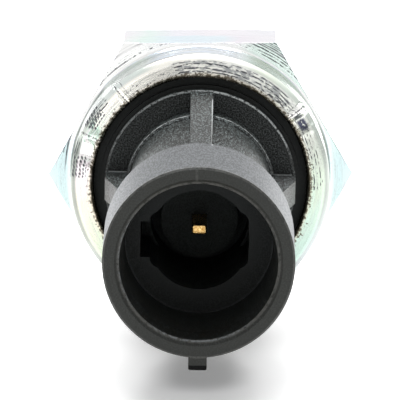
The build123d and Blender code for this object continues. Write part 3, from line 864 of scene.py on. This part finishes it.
def zinc_finish():
    """Zinc plate with its passivation's pale colours over turned, crimped and drawn surfaces, with painted
    shade, shadow and reflection.
    """
    finish = Finish("zinc_steel_finish")
    ring = Ring(finish)
    on_lip, on_wall, on_face = zinc_zones(finish, ring)
    colour = zinc_colour(finish, ring, on_lip, on_wall, on_face)
    marks = tool_marks_and_reflection(finish, ring, on_lip, on_face)
    grain = finish.noise(0.12, detail=3, roughness=0.6)
    turned = ring.lines(0.12, 2.4)
    fleck = finish.smooth(grain, 0.60, 0.70)
    colour = finish.mix(finish.times(fleck, 0.25), colour, (0.40, 0.41, 0.42))
    fine_lines = finish.smooth(ring.lines(0.15, 5.0), 0.52, 0.66)
    colour = finish.mix(finish.times(fine_lines, 0.26), colour, (0.44, 0.47, 0.46))
    # Painted dark reflection, in streaks, on the inner half of the lip's top.
    painted_dark_reflection = finish.times(
        on_lip,
        ring.zone((-46, 8), (11.35, 12.4), 8.0, 0.3),
        finish.smooth(ring.lines(0.3, 0.7), 0.42, 0.60),
        0.75,
    )
    colour = finish.mix(painted_dark_reflection, colour, (0.27, 0.285, 0.30))
    # Painted shade on the lip's inner round: brown towards the bore, then black on its frayed edge.
    bore_fringe_shade = finish.times(finish.smooth(ring.radius, 11.45, 11.05), on_lip, 0.5)
    colour = finish.mix(bore_fringe_shade, colour, (0.64, 0.56, 0.42))
    colour = finish.mix(finish.times(bore_edge_shade(finish, ring, on_lip), 0.88), colour, (0.10, 0.08, 0.05))
    colour = finish.mix(finish.times(line_marks_and_foot_shadow(finish, ring, on_lip), 0.85), colour, (0.07, 0.07, 0.08))
    # The tool marks, with their dark reflection painted in.
    colour = finish.mix(finish.times(marks, 0.9), colour, (0.045, 0.048, 0.06))
    # Painted shade, dark blue, in the first staking mark's dent.
    dent_shade = finish.times(
        on_lip,
        ring.zone((-62.0, -58.5), (11.65, 12.2), 2.0, 0.3),
        finish.smooth(finish.noise(0.35, detail=2), 0.36, 0.46),
        0.93,
    )
    colour = finish.mix(dent_shade, colour, (0.035, 0.04, 0.085))
    relief = finish.add(finish.times(turned, 0.7), finish.times(grain, 0.3), finish.times(marks, -0.5))
    rubbed = finish.add(rubbed_metal(finish, ring, on_lip), 0.10)
    finish.set(
        Base_Color=colour,
        Metallic=1.0,
        Roughness=finish.add(finish.times(grain, 0.18), finish.times(turned, 0.12), rubbed),
        Normal=finish.bump(relief, 0.012),
    )
    return finish.material


def plastic_grain(finish, ring):
    """The mould's spark-eroded grain, drawn out along the axis, and how strong it is on each region."""
    x, y, z = finish.split(finish.point)
    grain = finish.noise(0.15, finish.join(x, finish.times(y, 0.22), z), detail=1)
    strength = finish.times(
        finish.smooth(ring.height, SHROUD_REAR + 0.3, SHROUD_REAR - 0.1, 0.3, 1.0),
        finish.smooth(ring.height, COLLAR_TOP - 0.1, COLLAR_TOP + 0.7, 0.15, 1.0),
        finish.smooth(ring.radius, 5.5, 6.0, 0.4, 1.0),
        finish.smooth(ring.height, RIM - 0.6, RIM - 0.2, 1.0, 0.6),
    )
    return grain, strength


def plastic_edge_highlights(finish, ring):
    """Painted highlights along edges: beads round the boss and plinth, and lines on the ribs.

    The lines are on the top rib's right side and on the side ribs' tops.
    """
    boss = finish.times(
        finish.near(ring.radius, BOSS_RADIUS + 0.22, 0.2, 0.08),
        finish.near(ring.height, BOSS_TOP - 0.1, 0.24, 0.1),
    )
    plinth = finish.times(
        finish.near(ring.radius, PLINTH_RADIUS - 0.08, 0.06, 0.05),
        finish.near(ring.height, PLINTH_TOP - 0.1, 0.1, 0.1),
        finish.smooth(ring.turn, 10.0, -10.0, 0.35, 0.8),
        0.6,
    )
    beads = finish.smooth(finish.noise(0.34, detail=2, roughness=0.7), 0.38, 0.50)
    rims = finish.times(finish.most(boss, plinth), beads, finish.between(ring.turn, -62, 62, 14.0))
    rib_side = finish.times(
        finish.near(finish.add(ring.x, finish.times(ring.z, -0.024)), 1.06, 0.05, 0.04),
        finish.between(ring.height, 24.0, 47.0, 2.0),
        finish.smooth(ring.z, 7.4, 7.8),
        0.55,
    )
    rib_top = finish.times(
        finish.near(finish.add(ring.z, finish.times(ring.x, 0.0236)), 1.20, 0.04, 0.04),
        finish.near(ring.height, PLINTH_TOP, 0.05, 0.05),
        finish.between(ring.from_middle, 7.4, 9.2, 0.1),
        0.5,
    )
    return finish.most(rims, rib_side, rib_top)


def side_ribs(finish, ring):
    """1 on the two side ribs in front of the plinth."""
    return finish.times(
        finish.smooth(ring.from_middle, 6.9, 7.2),
        finish.near(ring.z, 0, 1.1, 0.1),
        finish.between(ring.height, PLINTH_TOP + 0.2, 40.0, 0.2),
    )


def rim_wear_and_highlight(finish, ring, at_rim):
    """Handling wear and painted highlights along the rim's inner and outer edges, and the mould's parting
    mark at its top.
    """
    worn = finish.most(
        finish.near(ring.radius, SOCKET_RADIUS + 0.33, 0.10, 0.16),
        finish.times(finish.near(ring.radius, SHROUD_RADIUS - 0.19, 0.06, 0.08), 0.7),
        finish.times(finish.near(ring.turn, 0.9, 0.4, 0.9), 0.4),
    )
    rubbed = finish.smooth(finish.noise(0.5, detail=3, roughness=0.7), 0.34, 0.54)
    return finish.times(worn, rubbed, at_rim, 0.7)


def rim_glint(finish, ring, at_rim):
    """Broken bright specks on the socket's edge, below and at the left."""
    low_or_left = finish.most(
        finish.smooth(ring.z, -5.2, -6.8),
        finish.smooth(ring.x, -5.0, -6.8, 0.0, 0.5),
    )
    return finish.times(
        finish.near(ring.radius, SOCKET_RADIUS + 0.22, 0.12, 0.14),
        at_rim,
        low_or_left,
        finish.smooth(finish.noise(0.3, detail=3), 0.40, 0.56),
        0.8,
    )


def plastic_shelter(finish, ring):
    """How much of its shine each place keeps: least on the latch's ramp.

    It is also less behind the lip, in the socket and up the neck.
    """
    in_socket = finish.times(
        finish.smooth(ring.radius, SOCKET_RADIUS - 0.05, SOCKET_RADIUS - 0.2),
        finish.smooth(ring.height, 30.0, 31.0),
        finish.smooth(ring.height, RIM - 1.7, RIM - 2.7),
    )
    up_neck = finish.times(
        finish.smooth(ring.height, 24.0, 42.0),
        finish.smooth(ring.height, SHROUD_REAR + 0.1, SHROUD_REAR - 0.1),
    )
    return finish.times(
        finish.smooth(ring.height, COLLAR_TOP - 0.2, COLLAR_TOP + 0.2, 0.45, 1.0),
        finish.smooth(in_socket, 0.0, 1.0, 1.0, 0.52),
        finish.smooth(ring.z, LATCH_RAMP_Z - 0.12, LATCH_RAMP_Z, 0.12, 1.0),
        finish.smooth(up_neck, 0.0, 1.0, 1.0, 0.58),
    )


def plastic_finish():
    """Black glass-filled plastic with a spark-eroded grain, with painted highlights along its edges and
    painted light and shade on some parts.
    """
    finish = Finish("black_plastic_finish")
    ring = Ring(finish)
    cloud = finish.noise(3.0, detail=3)
    grain, strength = plastic_grain(finish, ring)
    fleck = finish.times(finish.smooth(grain, 0.53, 0.62), strength)
    pit = finish.times(finish.smooth(grain, 0.47, 0.38), strength, 0.65)
    edges = plastic_edge_highlights(finish, ring)
    at_rim = finish.smooth(ring.height, RIM - 0.8, RIM - 0.4)
    on_shroud = finish.times(
        finish.smooth(ring.height, SHROUD_REAR + 0.1, SHROUD_REAR + 0.5),
        finish.near(ring.radius, SHROUD_RADIUS - 0.07, 0.12, 0.06),
        finish.opposite(finish.facing(1, -0.90, -0.97)),
    )
    in_core = finish.times(
        finish.smooth(ring.radius, CORE_RADIUS + 0.28, CORE_RADIUS + 0.08),
        finish.smooth(ring.height, SOCKET_LEDGE, SOCKET_LEDGE - 0.3),
    )
    colour = finish.mix(cloud, (0.012, 0.0130, 0.0120), (0.019, 0.0195, 0.0180))
    # Painted light: the shroud's outside is lighter than the rest of the moulding.
    colour = finish.mix(on_shroud, colour, (0.042, 0.045, 0.049))
    on_rim = finish.smooth(ring.height, RIM - 0.9, RIM - 0.5, 0.0, 0.7)
    colour = finish.mix(on_rim, colour, (0.0245, 0.0235, 0.0185))
    # Painted light: the core deep in the socket is lighter.
    colour = finish.mix(in_core, colour, (0.035, 0.040, 0.037))
    # Painted shade on the latch's ramp, which faces down.
    on_ramp = finish.smooth(ring.z, LATCH_RAMP_Z + 0.02, LATCH_RAMP_Z - 0.08)
    colour = finish.mix(on_ramp, colour, (0.004, 0.004, 0.004))
    # Painted light: the side ribs are lighter.
    colour = finish.mix(finish.times(side_ribs(finish, ring), 0.5), colour, (0.13, 0.13, 0.13))
    # The grain's light flecks, with painted light making them brighter where the surface faces up.
    facing_up = finish.facing(2, 0.1, 0.7, 0.06, 0.36)
    colour = finish.mix(finish.times(fleck, facing_up), colour, (0.23, 0.29, 0.29))
    colour = finish.mix(finish.times(pit, 0.8), colour, (0.003, 0.003, 0.003))
    # Handling wear and painted highlights along the rim's edges, and the parting mark.
    colour = finish.mix(rim_wear_and_highlight(finish, ring, at_rim), colour, (0.14, 0.138, 0.128))
    colour = finish.mix(rim_glint(finish, ring, at_rim), colour, (0.30, 0.32, 0.33))
    # Painted highlights along the edges.
    colour = finish.mix(edges, colour, (0.84, 0.88, 0.88))
    gloss = finish.smooth(on_shroud, 0.0, 1.0, 0.26, 0.45)
    shine = finish.add(finish.times(fleck, 0.3), finish.times(finish.opposite(pit), 0.36))
    shine = finish.times(shine, plastic_shelter(finish, ring))
    finish.set(
        Base_Color=colour,
        Roughness=finish.add(finish.times(grain, 0.25), finish.times(cloud, 0.12), gloss),
        Normal=finish.bump(grain, 0.08, strength),
        Specular_IOR_Level=finish.add(shine, finish.times(edges, 0.5)),
        Specular_Tint=(0.92, 0.98, 1.0),
        Sheen_Weight=finish.times(on_shroud, finish.smooth(grain, 0.36, 0.64, 0.24, 0.48)),
        Sheen_Roughness=0.35,
        Sheen_Tint=(0.95, 0.97, 1.0),
    )
    return finish.material


def metal_finish(name, colour, tarnish, roughness, grain_size=0.2, cloud_size=1.8):
    """A worn metal: two close colours in clouds, a fine grain and a varied gloss."""
    finish = Finish(name)
    cloud = finish.noise(cloud_size, detail=4, roughness=0.6)
    grain = finish.noise(grain_size, detail=3)
    finish.set(
        Base_Color=finish.mix(finish.smooth(cloud, 0.35, 0.7), colour, tarnish),
        Metallic=1.0,
        Roughness=finish.add(finish.times(grain, 0.2), roughness),
        Normal=finish.bump(finish.add(grain, cloud), 0.01),
    )
    return finish.material


def soft_finish(name, colour, shade, roughness, grain_size, deep):
    """Rubber, film or insulator: two close colours in clouds and a fine grain."""
    finish = Finish(name)
    cloud = finish.noise(1.5, detail=3)
    grain = finish.noise(grain_size, detail=3)
    finish.set(
        Base_Color=finish.mix(cloud, colour, shade),
        Roughness=finish.add(finish.times(grain, 0.15), roughness),
        Normal=finish.bump(grain, deep),
    )
    return finish.material


def make_finishes():
    """The material for each of the record's slots."""
    return {
        "zinc_steel": zinc_finish(),
        "washer_metal": metal_finish("washer_finish", (0.75, 0.76, 0.76), (0.52, 0.53, 0.54), 0.32),
        "black_plastic": plastic_finish(),
        "rubber": soft_finish("rubber_finish", (0.02, 0.02, 0.02), (0.035, 0.033, 0.03), 0.6, 0.12, 0.01),
        "film": soft_finish("film_finish", (0.55, 0.26, 0.05), (0.42, 0.18, 0.03), 0.2, 0.5, 0.003),
        "insulator": soft_finish(
            "insulator_finish", (0.50, 0.44, 0.33), (0.42, 0.35, 0.25), 0.45, 0.2, 0.01
        ),
        "steel": metal_finish("steel_finish", (0.56, 0.56, 0.55), (0.40, 0.40, 0.40), 0.25),
        "spring_steel": metal_finish(
            "spring_steel_finish", (0.45, 0.44, 0.42), (0.28, 0.27, 0.26), 0.25, 0.1
        ),
        "brass": metal_finish("brass_finish", (0.80, 0.60, 0.28), (0.62, 0.42, 0.17), 0.22),
        "terminal": metal_finish(
            "terminal_finish", (0.92, 0.64, 0.27), (0.50, 0.27, 0.07), 0.18, 0.12, 0.22
        ),
        "silver": metal_finish("silver_finish", (0.90, 0.89, 0.86), (0.68, 0.66, 0.62), 0.2),
    }


def dress_nodes(finishes):
    """Gives every carried-over CAD node the finish of its slot in the record."""
    for part in frame["record"]["subparts"]:
        node = nodes[part["node"]]
        finish = finishes[part["material_slot"]]
        if not node.material_slots:
            node.data.materials.append(finish)
        for material_slot in node.material_slots:
            material_slot.material = finish


def floor_glow(finish):
    """How far the paper is lifted towards white, by places on the floor in metres.

    It is least under the connector, where the shadow is darkest, and grows in an oval round that spot and
    towards the hexagon, so that it paints the shadow's shape. Near the shadow's front end it grows to both
    sides as well.
    """
    x, y, _ = finish.split(finish.point)
    across = finish.times(x, finish.smooth(y, -0.046, -0.036, 1.1 / SHADOW_WIDTH, 1.5 / SHADOW_WIDTH))
    along = finish.add(y, -SHADOW_Y)
    along = finish.most(finish.times(along, 1 / 0.025), finish.times(along, -1 / 0.010))
    squares = finish.add(finish.times(across, across), finish.times(along, along))
    beside = finish.add(x, 0.0008)
    beside = finish.smooth(finish.times(beside, beside), 0.0015**2, 0.0065**2, 0.0, 0.14)
    return finish.add(
        finish.smooth(squares, 0.0, 0.7, 0.05, 0.27),
        finish.smooth(squares, 0.7, 3.0, 0.0, 0.15),
        finish.smooth(squares, 4.0, 12.0, 0.0, 0.20),
        finish.smooth(y, -0.032, -0.016, 0.0, 0.40),
        finish.times(beside, finish.smooth(y, -0.048, -0.054)),
    )


def make_floor():
    """White paper under the sender; camera and glossy rays see it lifted to white outside the shadow."""
    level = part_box("hex_body")[0].z
    corners = [
        (-FLOOR_REACH, -FLOOR_REACH, level),
        (FLOOR_REACH, -FLOOR_REACH, level),
        (FLOOR_REACH, FLOOR_REACH, level),
        (-FLOOR_REACH, FLOOR_REACH, level),
    ]
    mesh = bpy.data.meshes.new("floor")
    mesh.from_pydata(corners, [], [(0, 1, 2, 3)])
    floor = bpy.data.objects.new("floor", mesh)
    bpy.context.scene.collection.objects.link(floor)
    finish = Finish("floor_finish")
    finish.set(
        Base_Color=finish.mix(finish.noise(40.0), (0.93, 0.93, 0.93), (0.95, 0.95, 0.95)),
        Roughness=1.0,
        Specular_IOR_Level=0.0,
        Emission_Color=(1, 1, 1),
        Emission_Strength=finish.times(finish.seen_ray(), floor_glow(finish)),
    )
    mesh.materials.append(finish.material)


def light_world():
    """A white surround, dimmer in front, where a camera stands, and softer as light than as it is seen."""
    world = bpy.data.worlds.new("studio")
    world.use_nodes = True
    bpy.context.scene.world = world
    surround = Nodes(world.node_tree)
    direction = surround.node("TexCoord").outputs["Generated"]
    front = surround.smooth(surround.split(direction)[1], -0.95, -0.25, FRONT_DIMMING, 1.0)
    seen = surround.node("MapRange", surround.seen_ray(), 0.0, 1.0, AMBIENT_LEVEL, 1.0).outputs[0]
    camera_ray = surround.node("LightPath").outputs["Is Camera Ray"]
    background = world.node_tree.nodes["Background"]
    surround.feed(background.inputs["Color"], (1, 1, 1))
    surround.feed(background.inputs["Strength"], surround.most(surround.times(front, seen), camera_ray))


def add_lamp(name, position, size, watts):
    """A soft box that the camera doesn't see, aimed at the sender's middle."""
    lamp = bpy.data.lights.new(name, "AREA")
    lamp.shape = "RECTANGLE"
    lamp.size, lamp.size_y = size
    lamp.energy = watts
    holder = bpy.data.objects.new(name, lamp)
    holder.visible_camera = False
    holder.location = position
    aim = Vector(LAMP_TARGET) - Vector(position)
    holder.rotation_euler = aim.to_track_quat("-Z", "Y").to_euler()
    bpy.context.scene.collection.objects.link(holder)


def light_studio():
    """The white surround, a soft box overhead and one on each side behind the sender."""
    light_world()
    add_lamp("overhead", (-0.01, 0.18, 0.52), (0.4, 0.3), 3.0)
    add_lamp("left", (-0.3, 0.5, 0.06), (0.25, 0.12), 0.8)
    add_lamp("right", (0.3, 0.5, 0.06), (0.25, 0.12), 0.9)


def place_camera():
    """The photograph's camera, aimed from the middle of the hexagon's front face."""
    look = Vector((
        -sin(CAMERA_AZIMUTH) * cos(CAMERA_ELEVATION),
        cos(CAMERA_AZIMUTH) * cos(CAMERA_ELEVATION),
        -sin(CAMERA_ELEVATION),
    ))
    right = look.cross(Vector((0, 0, 1))).normalized()
    up = right.cross(look)
    hex_centre = Vector((0, -HEX_FRONT * MM, 0))
    target = hex_centre - AIM_BELOW_HEX * MM * up - AIM_LEFT_OF_HEX * MM * right
    camera = bpy.data.cameras.new("camera")
    camera.lens = CAMERA_LENS
    camera.sensor_width = CAMERA_SENSOR
    holder = bpy.data.objects.new("camera", camera)
    turn = Matrix((right, up, -look)).transposed() @ Matrix.Rotation(-CAMERA_ROLL, 3, "Z")
    holder.matrix_world = Matrix.Translation(target - CAMERA_DISTANCE * MM * look) @ turn.to_4x4()
    bpy.context.scene.collection.objects.link(holder)
    bpy.context.scene.camera = holder


finishes = make_finishes()
dress_nodes(finishes)
make_body(finishes["zinc_steel"])
make_blade(finishes["terminal"])
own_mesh(nodes["return_spring"])
make_floor()
light_studio()
place_camera()
bpy.context.scene.view_settings.view_transform = "Standard"
